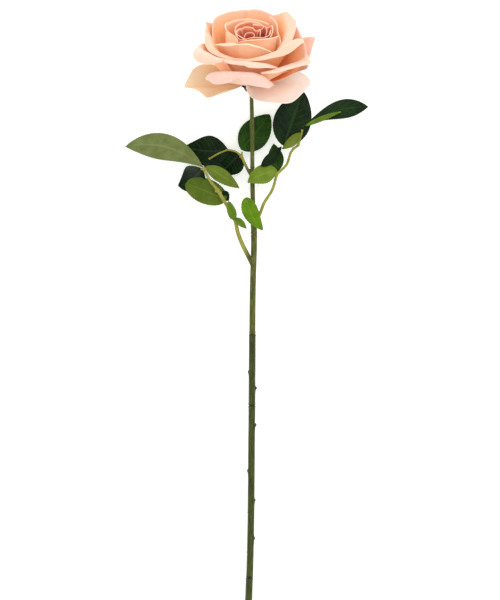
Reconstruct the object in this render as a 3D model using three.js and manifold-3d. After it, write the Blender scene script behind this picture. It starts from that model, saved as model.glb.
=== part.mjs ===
// A single long-stemmed artificial rose, lying on its side on a flat surface.
// The bloom is a cone-shaped core wrapped in moulded petals, on a green calyx. The stem is a
// steel wire threaded through moulded sleeves, three of which carry a branch with its leaflets.
// Units are millimetres. The stem runs along +Y from its cut end to the bloom, and +Z is up.
import * as THREE from "three";
import { mergeVertices } from "three/addons/utils/BufferGeometryUtils.js";
import Module from "manifold-3d";

const wasm = await Module();
wasm.setup();

// ---- Driving dimensions ----
const STEM_REACH = 527; // from the cut end to the foot of the calyx, along the surface
const NECK_REACH = 42; // the last stretch, where the stem bends up into the bloom
const BLOOM_LEAN = 60; // degrees from upright to the bloom's axis, towards the stem's line
const WIRE_RADIUS = 1.1;
const SLEEVE_RADIUS = 3.0; // the lower stem
const BRANCH_RADIUS = 2.75; // the sleeves that carry branches
const NECK_RADIUS = 1.75;
const FIT_GAP = 0.3; // clearance between pieces that touch
const PETAL_THICKNESS = 0.6;
const LAYER_GAP = 0.4; // clearance from one petal layer to the next, along the slope of the core
const LEAF_THICKNESS = 0.5;
const CALYX_RADIUS = 12.5;
const CALYX_HEIGHT = 11;
const CORE_RADIUS = 11.2; // foot of the cone that the petals are glued to
const CORE_HEIGHT = 13;
const PETAL_SCALE = 1; // size of all petals, core and calyx unchanged

const rad = THREE.MathUtils.degToRad;
const { lerp, clamp, smoothstep } = THREE.MathUtils;
const at = (x, y, z) => new THREE.Vector3(x, y, z);

// ---- Materials ----
const material = (color, roughness, metalness = 0) =>
  new THREE.MeshStandardMaterial({ color, roughness, metalness });
const PETAL_INNER = material("#f3a983", 0.6);
const PETAL_OUTER = material("#f6cdb4", 0.6);
const LEAF_TOP = material("#1f4a1c", 0.5);
const LEAF_PALE = material("#7d9a3c", 0.55);
const STEM_GREEN = material("#55641f", 0.5);
const BRANCH_GREEN = material("#a3a23a", 0.5);
const CALYX_GREEN = material("#2a4a17", 0.6);
const CORE_FOAM = material("#e9b08c", 0.8);
const STEEL = material("#8a8c8e", 0.35, 0.9);

// ---- Solids from bent primitives ----
// Moves every vertex of a closed geometry through place(x, y, z) -> Vector3.
function bend(geometry, place) {
  geometry.deleteAttribute("normal");
  geometry.deleteAttribute("uv");
  const p = geometry.attributes.position;
  for (let i = 0; i < p.count; i++) {
    const q = place(p.getX(i), p.getY(i), p.getZ(i));
    p.setXYZ(i, q.x, q.y, q.z);
  }
  return geometry;
}

// A sheet of even thickness over surface(u, v), with u from -1 to 1 and v from 0 to 1.
function sheet(columns, rows, thickness, surface, spacing = (v) => v) {
  const STEP = 1e-3;
  return bend(new THREE.BoxGeometry(2, 1, 1, columns, rows, 1), (x, y, z) => {
    const v = spacing(y + 0.5);
    const across = surface(x + STEP, v).sub(surface(x - STEP, v));
    const along = surface(x, v + STEP).sub(surface(x, v - STEP));
    const normal = across.cross(along).normalize();
    return surface(x, v).addScaledVector(normal, z * thickness);
  });
}

// An upright frame that travels along a curve: a point, and the sides that a section is drawn on.
function frameAt(curve, share) {
  const tangent = curve.getTangentAt(clamp(share, 0, 1));
  const side = tangent.clone().cross(at(0, 0, 1)).normalize();
  return { point: curve.getPointAt(clamp(share, 0, 1)), side, up: side.clone().cross(tangent) };
}

// A turned shape, drawn as [radius, height] points that close on themselves, bent along a curve.
// Height is measured in millimetres along the curve.
function turnedAlong(curve, profile, sides) {
  const length = curve.getLength();
  const points = profile.map(([r, h]) => new THREE.Vector2(r, h));
  return bend(new THREE.LatheGeometry(points, sides), (x, y, z) => {
    const { point, side, up } = frameAt(curve, y / length);
    return point.addScaledVector(side, x).addScaledVector(up, z);
  });
}

function turned(profile, sides) {
  return bend(
    new THREE.LatheGeometry(profile.map(([r, h]) => new THREE.Vector2(r, h)), sides),
    (x, y, z) => at(x, -z, y),
  );
}

// ---- Joining ----
function solid(geometry) {
  for (const name of ["normal", "uv"]) geometry.deleteAttribute(name);
  const merged = mergeVertices(geometry, 1e-3);
  return new wasm.Manifold(
    new wasm.Mesh({
      numProp: 3,
      vertProperties: merged.attributes.position.array,
      triVerts: new Uint32Array(merged.index.array),
    }),
  );
}

// Slivers left by a join, thinner than this many millimetres, are merged away.
const SLIVER = 0.02;

function geometryOf(manifold) {
  const mesh = manifold.simplify(SLIVER).getMesh();
  return new THREE.BufferGeometry()
    .setAttribute("position", new THREE.BufferAttribute(mesh.vertProperties, 3))
    .setIndex(new THREE.BufferAttribute(mesh.triVerts, 1));
}

const joined = (...geometries) =>
  geometryOf(geometries.map(solid).reduce((a, b) => a.add(b)));

function named(name, geometry, look) {
  const mesh = new THREE.Mesh(geometry, look);
  mesh.name = name;
  return mesh;
}

// ---- Bloom: a family of nested profiles that all petals are cut from ----
// layer is how far down the core's slope a petal is glued, counted in petals that would fit above it.
// Each row gives the profile's angle from the bloom's axis at the foot, the middle and under the rim,
// the extra roll of the rim, and its length.
const PROFILES = [
  { layer: 0.5, foot: 10, middle: 2, rim: -6, roll: 0, length: 34 },
  { layer: 3.5, foot: 46, middle: 4, rim: -12, roll: 0, length: 39 },
  { layer: 7.1, foot: 66, middle: 12, rim: -12, roll: 12, length: 43 },
  { layer: 8.2, foot: 72, middle: 16, rim: -4, roll: 40, length: 48 },
  { layer: 9.3, foot: 80, middle: 24, rim: 14, roll: 84, length: 55 },
  { layer: 10.4, foot: 86, middle: 38, rim: 34, roll: 92, length: 55 },
  { layer: 11.5, foot: 93, middle: 56, rim: 66, roll: 92, length: 54 },
  { layer: 12.6, foot: 104, middle: 84, rim: 100, roll: 45, length: 54 },
];
const MIDDLE_AT = 0.45; // share of the length where the middle angle is reached
const RIM_AT = 0.85;
const ROLL_FROM = 0.78;
const CORE_SLOPE = Math.hypot(CORE_RADIUS, CORE_HEIGHT);
const LAYER_PITCH = PETAL_THICKNESS + LAYER_GAP;

function profileOf(layer) {
  const past = PROFILES.findIndex((row) => row.layer > layer);
  const i = clamp((past < 0 ? PROFILES.length : past) - 1, 0, PROFILES.length - 2);
  const [a, b] = [PROFILES[i], PROFILES[i + 1]];
  const share = (layer - a.layer) / (b.layer - a.layer);
  return Object.fromEntries(Object.keys(a).map((k) => [k, lerp(a[k], b[k], share)]));
}

// Radius and height of a point on a layer, a share v of the way from the foot to the rim.
// lift stands the petal up by some degrees, reach shortens it, and roll scales the roll of its rim.
function onLayer(layer, v, { lift = 0, reach = 1, roll = 1 } = {}) {
  const STEPS = 20;
  const profile = profileOf(layer);
  const step = (profile.length * reach * PETAL_SCALE * v) / STEPS;
  const down = (layer * LAYER_PITCH) / CORE_SLOPE;
  let radius = FIT_GAP + PETAL_THICKNESS + CORE_RADIUS * down;
  let height = CALYX_HEIGHT + FIT_GAP + CORE_HEIGHT * (1 - down);
  for (let i = 0; i < STEPS; i++) {
    const share = ((i + 0.5) / STEPS) * v;
    const t = share * reach;
    const body =
      t < MIDDLE_AT
        ? lerp(profile.foot, profile.middle, 1 - (1 - t / MIDDLE_AT) ** 2)
        : lerp(profile.middle, profile.rim, (t - MIDDLE_AT) / (RIM_AT - MIDDLE_AT));
    const rolled = profile.roll * roll * smoothstep(share, ROLL_FROM, 1);
    const angle = rad(body + rolled - lift * smoothstep(t, 0, MIDDLE_AT));
    radius += Math.sin(angle) * step;
    height += Math.cos(angle) * step;
  }
  return { radius, height };
}

// One petal. towards is its direction in degrees round the axis, 0 to the right and 90 to the back.
// foot is the width it is glued on by. tilt tucks its left side in and brings its right side over the
// neighbour (the other way round when under 0), and tip makes a point (over 0) or a notch (under 0)
// at tipAt. The lift fades to its sides, and the roll fades where the side is tucked in.
function petalSurface(petal) {
  const { towards, layer, width, foot, tilt = 0.3 } = petal;
  const { tip = 0, tipAt = 0, lift = 0, roll = 1, reach = 1 } = petal;
  return (u, v) => {
    const side = Math.abs(u);
    const top = 1 - 0.24 * side ** 2.4 + tip * Math.exp(-(((u - tipAt) / 0.18) ** 2));
    const opening = (1 - Math.cos(Math.PI * clamp(v / 0.66, 0, 1))) / 2;
    const across = lerp(foot, width * PETAL_SCALE, opening) * (1 - 0.14 * smoothstep(v, 0.62, 1.05));
    const free = smoothstep(v, 0.04, 0.34);
    const stand = {
      reach,
      lift: lift * (1 - 0.6 * side ** 2),
      roll: roll * (1 - 0.7 * smoothstep(-u * Math.sign(tilt), 0.3, 1)),
    };
    const { radius, height } = onLayer(layer + tilt * u * free, v * top, stand);
    const spread = clamp(across / 2 / radius, 0, Math.PI * 0.86);
    const angle = rad(towards) + spread * u;
    return at(Math.cos(angle) * radius, Math.sin(angle) * radius, height);
  };
}

const rowSpacing = (v) => 1 - (1 - v) ** 1.25;

// From the heart of the bloom outwards.
const PETALS = [
  { name: "heart_petal_1", towards: 250, layer: 0.5, width: 22, foot: 6 },
  { name: "heart_petal_2", towards: 20, layer: 1.6, width: 22, foot: 8 },
  { name: "heart_petal_3", towards: 140, layer: 2.6, width: 24, foot: 10 },
  { name: "bud_petal_1", towards: 275, layer: 3.5, width: 27, foot: 12, tilt: 0.22 },
  { name: "bud_petal_2", towards: 60, layer: 4.4, width: 27, foot: 13, tilt: 0.22, tip: 0.08 },
  { name: "bud_petal_3", towards: 185, layer: 5.3, width: 30, foot: 14, tilt: 0.2 },
  { name: "bud_petal_4", towards: 320, layer: 6.2, width: 32, foot: 15, tilt: 0.2, tip: 0.06 },
  { name: "bud_petal_5", towards: 100, layer: 7.1, width: 34, foot: 16, tilt: 0.2 },
  {
    name: "inner_petal_1", towards: 250, layer: 8.2, width: 44, foot: 5.4,
    tip: -0.07, tipAt: -0.25, reach: 0.97,
  },
  { name: "inner_petal_2", towards: 320, layer: 8.2, width: 34, foot: 5.4, reach: 0.96 },
  { name: "inner_petal_3", towards: 20, layer: 8.2, width: 34, foot: 5.4, tip: 0.04 },
  { name: "inner_petal_4", towards: 94, layer: 8.2, width: 44, foot: 5.4 },
  { name: "inner_petal_5", towards: 170, layer: 8.2, width: 38, foot: 5.4, tip: 0.05 },
  {
    name: "cup_petal_1", towards: 301, layer: 9.3, width: 56, foot: 5.8,
    tilt: -0.3, reach: 0.92, lift: -3,
  },
  {
    name: "cup_petal_2", towards: 6, layer: 9.3, width: 44, foot: 5.8,
    tilt: -0.3, reach: 1.02, lift: -4,
  },
  {
    name: "cup_petal_3", towards: 62, layer: 9.3, width: 56, foot: 5.8,
    tilt: -0.3, tip: 0.05, tipAt: -0.25, reach: 1.1, lift: -5,
  },
  {
    name: "cup_petal_4", towards: 130, layer: 9.3, width: 58, foot: 5.8,
    tilt: -0.3, reach: 1.1, lift: -4,
  },
  {
    name: "cup_petal_5", towards: 212, layer: 9.3, width: 62, foot: 5.8,
    tilt: -0.3, reach: 0.98, lift: -6,
  },
  {
    name: "outer_petal_1", towards: 258, layer: 10.4, width: 46, foot: 5.8,
    tip: -0.08, reach: 0.92, lift: 4,
  },
  { name: "outer_petal_2", towards: 317, layer: 10.4, width: 54, foot: 5.8, reach: 1.05 },
  { name: "outer_petal_3", towards: 10, layer: 10.4, width: 42, foot: 5.8 },
  { name: "outer_petal_4", towards: 66, layer: 10.4, width: 52, foot: 5.8 },
  {
    name: "outer_petal_5", towards: 138, layer: 10.4, width: 52, foot: 5.8,
    tip: 0.08, lift: 3, roll: 0.6,
  },
  { name: "outer_petal_6", towards: 194, layer: 10.4, width: 44, foot: 5.8, reach: 1.05 },
  {
    name: "skirt_petal_1", towards: 254, layer: 11.5, width: 58, foot: 9,
    tilt: -0.06, tip: -0.14, lift: 21, roll: 1.4,
  },
  {
    name: "skirt_petal_2", towards: 3, layer: 11.5, width: 48, foot: 9,
    tip: 0.08, lift: 14, roll: 0.1,
  },
  { name: "skirt_petal_3", towards: 76, layer: 11.5, width: 44, foot: 9, reach: 0.95, lift: 4 },
  { name: "skirt_petal_4", towards: 138, layer: 11.5, width: 46, foot: 9, reach: 0.95, lift: 4 },
  {
    name: "fallen_petal_1", towards: 197, layer: 12.6, width: 50, foot: 13,
    tip: 0.07, tipAt: -0.15, reach: 0.93, lift: 4,
  },
  { name: "fallen_petal_2", towards: 319, layer: 12.6, width: 70, foot: 13, reach: 0.92, lift: 4 },
];
const INNER_RINGS = 8; // the small petals at the front of the list, drawn with fewer rows

// ---- Calyx and core, in the bloom's own frame with +Z along its axis ----
const CALYX_FOOT = NECK_RADIUS + 0.6;
const SOCKET_DEPTH = 4; // the wire's end is seated this far into the calyx
const SEPAL_LENGTH = 18;
const SEPAL_WIDTH = 11;

const core = turned(
  [
    [0, CALYX_HEIGHT + FIT_GAP],
    [CORE_RADIUS, CALYX_HEIGHT + FIT_GAP],
    [0, CALYX_HEIGHT + FIT_GAP + CORE_HEIGHT],
  ],
  20,
);

const cup = turned(
  [
    [0, SOCKET_DEPTH],
    [WIRE_RADIUS + FIT_GAP, SOCKET_DEPTH],
    [WIRE_RADIUS + FIT_GAP, 0],
    [CALYX_FOOT, 0],
    [CALYX_RADIUS * 0.42, CALYX_HEIGHT * 0.14],
    [CALYX_RADIUS * 0.58, CALYX_HEIGHT * 0.4],
    [CALYX_RADIUS * 0.7, CALYX_HEIGHT * 0.66],
    [CALYX_RADIUS, CALYX_HEIGHT * 0.9],
    [CALYX_RADIUS, CALYX_HEIGHT],
    [0, CALYX_HEIGHT],
  ],
  20,
);

function sepal(towards) {
  const start = CALYX_RADIUS * 0.72;
  return sheet(4, 6, 0.9, (u, v) => {
    const along = start + v * (SEPAL_LENGTH + CALYX_RADIUS * 0.28);
    const half = (SEPAL_WIDTH / 2) * Math.sqrt(Math.max(0.01, 1 - Math.max(0, v) ** 1.6));
    const angle = rad(towards) + Math.asin(clamp((half * u) / along, -0.9, 0.9));
    const drop = 2.2 * v ** 2 - 0.3 * u ** 2 * (1 - v);
    return at(Math.cos(angle) * along, Math.sin(angle) * along, CALYX_HEIGHT * 0.93 - drop);
  });
}
const SEPALS = [220, 292, 4, 76, 148];
const calyx = joined(cup, ...SEPALS.map(sepal));

const bloom = new THREE.Group();
bloom.add(named("bloom_core", core, CORE_FOAM));
bloom.add(named("calyx", calyx, CALYX_GREEN));
PETALS.forEach((petal, i) => {
  const rows = i < INNER_RINGS ? 5 : 7;
  const shape = sheet(8, rows, PETAL_THICKNESS, petalSurface(petal), rowSpacing);
  bloom.add(named(petal.name, shape, i < INNER_RINGS ? PETAL_INNER : PETAL_OUTER));
});
bloom.rotation.x = -rad(BLOOM_LEAN);

// The bloom rests on its lowest petals, which sets how high the foot of the calyx is.
const BLOOM_FOOT = -new THREE.Box3().setFromObject(bloom, true).min.z;

// ---- Stem line: nearly straight, rising from the cut end, then bending up into the bloom ----
// How far it wanders to the side, in millimetres, at shares of its reach.
const WANDER = [
  [0, -4],
  [0.15, -1.2],
  [0.27, 0.7],
  [0.45, 1.6],
  [0.65, 2.3],
  [0.75, 3.6],
  [0.85, 2.2],
  [0.93, 1.9],
  [1, 1.3],
];
const BLOOM_SLOPE = Math.tan(Math.PI / 2 - rad(BLOOM_LEAN));
const STRAIGHT = STEM_REACH - NECK_REACH;
// The slope that brings the line up to the calyx, with the neck's slope growing evenly over its reach.
const SLOPE = (BLOOM_FOOT - SLEEVE_RADIUS - (NECK_REACH * BLOOM_SLOPE) / 2) / (STRAIGHT + NECK_REACH / 2);

function stemHeight(y) {
  const neck = Math.max(0, y - STRAIGHT);
  return SLEEVE_RADIUS + SLOPE * y + ((BLOOM_SLOPE - SLOPE) * neck ** 2) / (2 * NECK_REACH);
}

const wander = new THREE.CatmullRomCurve3(WANDER.map(([share, x]) => at(x, share * STEM_REACH, 0)));
const stemPoints = [];
for (let i = 0; i <= 40; i++) {
  const { x, y } = wander.getPoint(i / 40);
  stemPoints.push(at(x, y, stemHeight(y)));
}
const stemEnd = stemPoints[stemPoints.length - 1];
const bloomAxis = at(0, Math.sin(rad(BLOOM_LEAN)), Math.cos(rad(BLOOM_LEAN)));
stemPoints.push(stemEnd.clone().addScaledVector(bloomAxis, SOCKET_DEPTH));
const stem = new THREE.CatmullRomCurve3(stemPoints);
stem.arcLengthDivisions = 600;
bloom.position.copy(stemEnd);

// Distance along the stem line of the point that lies y millimetres from the cut end.
const STEM_LENGTH = stem.getLength();
function alongStem(y) {
  let [low, high] = [0, 1];
  for (let i = 0; i < 24; i++) {
    const middle = (low + high) / 2;
    if (stem.getPointAt(middle).y < y) low = middle;
    else high = middle;
  }
  return low * STEM_LENGTH;
}
const onStem = (y) => stem.getPointAt(alongStem(y) / STEM_LENGTH);

// Rings of a tube from one distance along the stem to another, close enough together to bend.
function rings(from, to, radius, endRadius = radius, pitch = 32) {
  const count = Math.max(2, Math.ceil((to - from) / pitch) + 1);
  return Array.from({ length: count }, (_, i) => {
    const share = i / (count - 1);
    return [lerp(radius, endRadius, share), lerp(from, to, share)];
  });
}

const BORE_RADIUS = WIRE_RADIUS + FIT_GAP;

const WIRE_FROM = 2; // the wire's lower end is set back into the lowest sleeve
const WIRE_TO = STEM_LENGTH - 0.5;
const wire = turnedAlong(
  stem,
  [
    [0, WIRE_FROM],
    ...rings(WIRE_FROM, alongStem(STRAIGHT - 8), WIRE_RADIUS),
    ...rings(alongStem(STRAIGHT), WIRE_TO, WIRE_RADIUS, WIRE_RADIUS, 6),
    [0, WIRE_TO],
  ],
  8,
);

// A moulded sleeve with a slightly raised ring at both ends, solid or with a bore for the wire.
function sleeve(fromY, toY, radius, { endRadius = radius, pitch = 32, bored = true } = {}) {
  const [from, to] = [alongStem(fromY) + FIT_GAP / 2, alongStem(toY) - FIT_GAP / 2];
  const RING = 2.2;
  const outside = [
    [radius + 0.15, from],
    [radius + 0.25, from + RING * 0.5],
    ...rings(from + RING, to - RING, radius, endRadius, pitch),
    [endRadius + 0.25, to - RING * 0.5],
    [endRadius + 0.15, to],
  ];
  const inside = rings(from, to, BORE_RADIUS, BORE_RADIUS, pitch).reverse();
  const profile = bored ? [...outside, ...inside, outside[0]] : [[0, from], ...outside, [0, to]];
  return turnedAlong(stem, profile, 12);
}

// A thorn bud on the stem, y millimetres from the cut end, pointing to a side.
function thorn(y, direction, height) {
  const base = onStem(y);
  const cone = new THREE.ConeGeometry(1.6, height + 1.5, 6);
  cone.applyMatrix4(new THREE.Matrix4().makeRotationZ(-direction * rad(68)));
  return cone.translate(base.x + direction * (SLEEVE_RADIUS - 0.5 + height / 2), base.y + 0.6, base.z);
}

// ---- Layout along the stem, as distances from the cut end ----
const JOINT_LOW = 99;
const JOINT_MIDDLE = 251;
const JOINT_LEFT = 314;
const JOINT_RIGHT = 401.5;
const JOINT_UPPER = 418;
const JOINT_NECK = 460;

// Where each branch leaves the stem, as distances from the cut end.
const ROOT_LEFT = 376;
const ROOT_RIGHT = 412.5;
const ROOT_UPPER = 452.5;

// ---- Branches: a collar on the stem, a stalk, and short side stalks for the leaflets ----
// Points of a branch's stalks and leaflets are measured from its root on the stem line.
const BRANCHES = {
  left: {
    from: JOINT_LEFT,
    to: JOINT_RIGHT,
    root: onStem(ROOT_LEFT),
    radius: BRANCH_RADIUS,
    stalks: [
      {
        points: [
          [-1.1, 0, 1.2], [-4.8, 7, 4.2], [-9.8, 17, 6.7], [-13.7, 27, 8.2],
          [-16.3, 38, 9.7], [-21.8, 48.5, 11.2],
        ],
        radius: 2.2,
        endRadius: 1.6,
      },
      {
        points: [[-21.5, 48, 11.1], [-27.9, 58.6, 12.2], [-31.6, 65, 12.9]],
        radius: 1.6,
        endRadius: 1.7,
      },
      {
        points: [[-31.3, 64.5, 12.9], [-38.8, 73.9, 13.9], [-43.9, 83.6, 15.2]],
        radius: 1.4,
        endRadius: 1.1,
      },
      { points: [[-16.5, 38.5, 9.9], [-17.2, 41.6, 11.9]], radius: 0.8, endRadius: 0.7 },
      { points: [[-16.1, 37.5, 9.7], [-14.3, 36.6, 11.7]], radius: 0.8, endRadius: 0.7 },
      { points: [[-31.1, 64.2, 12.7], [-34.1, 63.6, 12.3]], radius: 1, endRadius: 0.8 },
      { points: [[-30.7, 64, 12.7], [-27.9, 62.4, 11.7]], radius: 0.8, endRadius: 0.7 },
      { points: [[-43.6, 83, 15.1], [-46.5, 83.4, 14.3]], radius: 0.9, endRadius: 0.8 },
      { points: [[-43.6, 83.2, 15.1], [-41.5, 84, 14.9]], radius: 0.9, endRadius: 0.8 },
    ],
  },
  right: {
    from: JOINT_RIGHT,
    to: JOINT_UPPER,
    root: onStem(ROOT_RIGHT),
    radius: BRANCH_RADIUS,
    stalks: [
      {
        points: [
          [1.1, 0, 1.6], [5.3, 7, 3.1], [9.2, 17, 4.1], [16.5, 28.8, 4.8],
          [20.5, 42.7, 5.4],
        ],
        radius: 1.6,
        endRadius: 1.3,
      },
      {
        points: [[20.3, 42.3, 5.4], [28.9, 50.7, 5.8], [33.3, 62.4, 6.4], [39.7, 68.2, 7]],
        radius: 1.3,
        endRadius: 1.2,
      },
      { points: [[39.4, 67.9, 7], [41.9, 76.9, 7.6], [42.8, 81.7, 8.2]], radius: 1.1, endRadius: 0.9 },
      { points: [[33.1, 61.9, 6.4], [35.1, 65.9, 7.4]], radius: 0.9, endRadius: 0.7 },
      { points: [[41.4, 74.9, 7.6], [40.1, 74.7, 5.2]], radius: 0.8, endRadius: 0.7 },
      { points: [[39.9, 68.9, 7.1], [38.7, 70.7, 9.2]], radius: 0.9, endRadius: 0.7 },
      { points: [[20.1, 41.3, 5.4], [19, 42.9, 6.2]], radius: 0.9, endRadius: 0.8 },
      { points: [[20.3, 42, 5.4], [20.9, 44.5, 4.6]], radius: 0.9, endRadius: 0.8 },
      { points: [[1.7, -0.5, 1.8], [5.5, -4.5, 4.1], [7.3, -6.9, 6]], radius: 1.1, endRadius: 0.8 },
    ],
  },
  upper: {
    from: JOINT_UPPER,
    to: JOINT_NECK,
    root: onStem(ROOT_UPPER),
    radius: NECK_RADIUS + 0.35,
    stalks: [
      { points: [[-0.5, 0, 1.4], [-4.5, 7, -0.6], [-9.5, 18.1, -3.4]], radius: 1.5, endRadius: 1.2 },
      {
        points: [[-9.3, 17.7, -3.4], [-14.6, 22.3, -4], [-22.1, 24.1, -4.6]],
        radius: 1,
        endRadius: 0.8,
      },
      { points: [[-9.3, 17.7, -3.4], [-9.2, 22.1, -4.6]], radius: 0.9, endRadius: 0.7 },
      { points: [[-9.3, 17.7, -3.4], [-11.3, 18.1, -3.6]], radius: 0.9, endRadius: 0.8 },
    ],
  },
};

function stalk({ points, radius, endRadius }, root) {
  const curve = new THREE.CatmullRomCurve3(points.map((p) => root.clone().add(at(...p))));
  const length = curve.getLength();
  const outline = rings(0, length, radius, endRadius, 8);
  return turnedAlong(curve, [[0, 0], ...outline, [0, length]], radius > 1 ? 7 : 6);
}

function branch({ from, to, root, radius, stalks }) {
  const [start, end] = [alongStem(from) - 2, alongStem(to) + 2];
  const bore = turnedAlong(stem, [[0, start], ...rings(start, end, BORE_RADIUS), [0, end]], 12);
  const body = [sleeve(from, to, radius, { bored: false }), ...stalks.map((s) => stalk(s, root))];
  return geometryOf(body.map(solid).reduce((a, b) => a.add(b)).subtract(solid(bore)));
}

// ---- Leaflets ----
// base and tip are the ends of the midrib, from the root of its branch. arch lifts its middle, and
// bow pushes it sideways. roll turns the blade about the midrib (180 shows its underside), fold
// closes it like a book, and droop bends the sides down.
function leafSurface(leaflet, root) {
  const { base, tip, width, arch = 0, bow = 0 } = leaflet;
  const { roll = 0, fold = 0, droop = 0, twist = 0 } = leaflet;
  const [start, end] = [base, tip].map((p) => root.clone().add(at(...p)));
  const direction = end.clone().sub(start);
  const across = at(direction.y, -direction.x, 0).normalize();
  const middle = start.clone().lerp(end, 0.5).addScaledVector(across, bow * 2).add(at(0, 0, arch * 2));
  const midrib = new THREE.QuadraticBezierCurve3(start, middle, end);
  return (u, v) => {
    const share = clamp(v, 0, 1);
    const point = midrib.getPoint(share);
    const along = midrib.getTangent(share);
    const side = along.clone().cross(at(0, 0, 1)).normalize();
    const top = side.clone().cross(along);
    const turn = rad(roll + twist * (share - 0.5));
    const sideways = side.clone().multiplyScalar(Math.cos(turn)).addScaledVector(top, Math.sin(turn));
    const upwards = top.clone().multiplyScalar(Math.cos(turn)).addScaledVector(side, -Math.sin(turn));
    const half = Math.max(0.45, (width / 2) * Math.sin(Math.PI * share ** 0.82) ** 0.82);
    const slant = rad(fold);
    const out = u * half * Math.cos(slant);
    const rise = Math.abs(u) * half * Math.sin(slant) - droop * u ** 2 * (half / (width / 2));
    return point.addScaledVector(sideways, out).addScaledVector(upwards, rise);
  };
}

const LEAFLETS = [
  {
    name: "leaflet_left_1", base: [-44.7, 85, 15.7], tip: [-112.8, 103.4, -2.3],
    width: 24, bow: 10, arch: 3, roll: 165,
  },
  {
    name: "leaflet_left_2", base: [-47.3, 83, 12.7], tip: [-65.1, 69, -13.1],
    width: 23, bow: -3, arch: -6, roll: -10,
  },
  {
    name: "leaflet_left_3", base: [-40.9, 84.2, 14.9], tip: [-12.6, 66.6, 12.7],
    width: 17, bow: -1, roll: 150,
  },
  {
    name: "leaflet_left_4", base: [-34.7, 63.6, 12.1], tip: [-59.3, 58.8, 2.7],
    width: 26, bow: 4, arch: 4.5, roll: 174, fold: 8,
  },
  { name: "leaflet_left_5", base: [-26.7, 60.4, 11.1], tip: [-23.1, 54.4, 8.7], width: 11, roll: 150 },
  { name: "leaflet_left_6", base: [-17.3, 41.6, 12.9], tip: [-21.3, 54.4, 16.7], width: 8, fold: 20 },
  { name: "leaflet_left_7", base: [-13.5, 36.1, 12.6], tip: [-5.9, 30.9, 14.2], width: 7, fold: 20 },
  {
    name: "leaflet_right_1", base: [43.1, 82.5, 8.4], tip: [100.3, 101.9, -13.4],
    width: 19, bow: -7, arch: 3, roll: 30, twist: -60,
  },
  {
    name: "leaflet_right_2", base: [37.1, 72.9, 10], tip: [32.7, 119.5, -1.4],
    width: 36, arch: 3, fold: 8,
  },
  {
    name: "leaflet_right_3", base: [39.3, 74.3, 4.1], tip: [22.3, 62.7, -1.4],
    width: 15, bow: 2, roll: 165,
  },
  { name: "leaflet_right_4", base: [21, 45.1, 4.4], tip: [18.5, 68.7, -2.4], width: 15, fold: 10 },
  {
    name: "leaflet_right_5", base: [18.6, 43.1, 6.6], tip: [-5.1, 34.9, 10.6],
    width: 34, roll: 8, fold: 36,
  },
  {
    name: "leaflet_right_6", base: [7.5, -5.5, 6.6], tip: [-9.9, 21.5, 8.6],
    width: 19, bow: 2, arch: 1, fold: 10,
  },
  {
    name: "leaflet_upper_1", base: [-9.5, 23.3, -4.8], tip: [15.5, 53.3, -11.6],
    width: 25, bow: 2, arch: -1,
  },
  {
    name: "leaflet_upper_2", base: [-22.8, 23.5, -4.6], tip: [-58.1, 19.5, -9.6],
    width: 27, bow: -1, arch: 2,
  },
  { name: "leaflet_upper_3", base: [-12.7, 17.5, -3.9], tip: [-32.1, 1.1, -8.6], width: 22 },
];

// ---- Assembly ----
const neck = sleeve(JOINT_NECK, STEM_REACH - 1.2, NECK_RADIUS + 0.1, { endRadius: NECK_RADIUS, pitch: 7 });
const rose = new THREE.Group();
rose.add(bloom);
rose.add(named("stem_wire", wire, STEEL));
rose.add(named("stem_sleeve_low", sleeve(0, JOINT_LOW, SLEEVE_RADIUS + 0.1), STEM_GREEN));
rose.add(
  named(
    "stem_sleeve_middle",
    joined(
      sleeve(JOINT_LOW, JOINT_MIDDLE, SLEEVE_RADIUS),
      thorn(134, 1, 1.1),
      thorn(167.5, 1, 1),
      thorn(193.5, -1, 0.9),
      thorn(234, 1, 1.3),
    ),
    STEM_GREEN,
  ),
);
rose.add(
  named(
    "stem_sleeve_high",
    joined(sleeve(JOINT_MIDDLE, JOINT_LEFT, SLEEVE_RADIUS), thorn(266.5, 1, 1.6), thorn(280.6, -1, 0.9)),
    STEM_GREEN,
  ),
);
rose.add(named("stem_neck", neck, STEM_GREEN));
for (const [side, parts] of Object.entries(BRANCHES)) {
  rose.add(named(`branch_${side}`, branch(parts), BRANCH_GREEN));
}
for (const leaflet of LEAFLETS) {
  const { root } = BRANCHES[leaflet.name.split("_")[1]];
  const showsUnderside = Math.abs(leaflet.roll ?? 0) > 90;
  const shape = sheet(4, 7, LEAF_THICKNESS, leafSurface(leaflet, root));
  rose.add(named(leaflet.name, shape, showsUnderside ? LEAF_PALE : LEAF_TOP));
}

// The origin is the middle of the bottom of the bounding box.
const bounds = new THREE.Box3().setFromObject(rose, true);
const centre = bounds.getCenter(at(0, 0, 0));
rose.position.set(-centre.x, -centre.y, -bounds.min.z);

export default rose;
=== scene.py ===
"""A long-stemmed artificial peach rose, lying on a pale surface and seen from straight above.

The bloom, the leaflets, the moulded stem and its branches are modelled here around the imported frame.
Lengths are in millimetres until finish_piece() turns them into metres.
"""

import math

import bmesh
import bpy
from mathutils import Matrix, Vector, noise


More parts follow.
